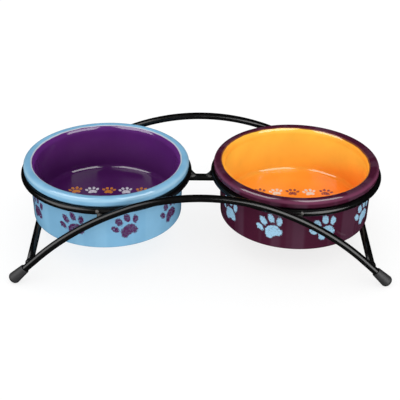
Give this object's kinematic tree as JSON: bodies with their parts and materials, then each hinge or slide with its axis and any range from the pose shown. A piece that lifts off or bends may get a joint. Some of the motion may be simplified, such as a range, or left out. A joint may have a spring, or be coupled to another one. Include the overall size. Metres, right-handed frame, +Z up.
{
  "type": "double pet bowl",
  "caption": "Round glazed ceramic pet bowls with rolled rims that lift out of the rings of a welded wire stand with arched sides and rubber-capped feet.",
  "frame": {"origin": "on the floor, midway between the bowls and midway between the front and rear arches", "axes": "+X from the left bowl to the right bowl, +Y from the front arch to the rear arch, +Z up"},
  "size_m": [0.2698, 0.1362, 0.0718],
  "materials": {
    "blue_glaze": "gloss glaze, light blue outside and purple inside",
    "plum_glaze": "gloss glaze, dark plum outside and orange inside",
    "coated_wire": "satin black powder coat on steel wire",
    "coated_bead": "satin black powder coat on a weld bead",
    "rubber_cap": "matt dark grey rubber"
  },
  "bodies": {
    "stand": {"left_ring": "coated_wire", "right_ring": "coated_wire", "front_arch": "coated_wire", "rear_arch": "coated_wire", "ring_bridge": "coated_wire", "left_side_bar": "coated_wire", "right_side_bar": "coated_wire", "front_left_cap": "rubber_cap", "front_right_cap": "rubber_cap", "rear_left_cap": "rubber_cap", "rear_right_cap": "rubber_cap", "front_left_ring_weld": "coated_bead", "front_right_ring_weld": "coated_bead", "rear_left_ring_weld": "coated_bead", "rear_right_ring_weld": "coated_bead", "left_bridge_weld": "coated_bead", "right_bridge_weld": "coated_bead", "front_left_bar_weld": "coated_bead", "front_right_bar_weld": "coated_bead", "rear_left_bar_weld": "coated_bead", "rear_right_bar_weld": "coated_bead"},
    "left_bowl": {"left_bowl": "blue_glaze"},
    "right_bowl": {"right_bowl": "plum_glaze"}
  },
  "joints": [
    {"name": "left_bowl_lift", "type": "slide", "parent": "stand", "child": "left_bowl", "axis": [0, 0, 1], "range_m": [0, 0.06]},
    {"name": "right_bowl_lift", "type": "slide", "parent": "stand", "child": "right_bowl", "axis": [0, 0, 1], "range_m": [0, 0.06]}
  ]
}
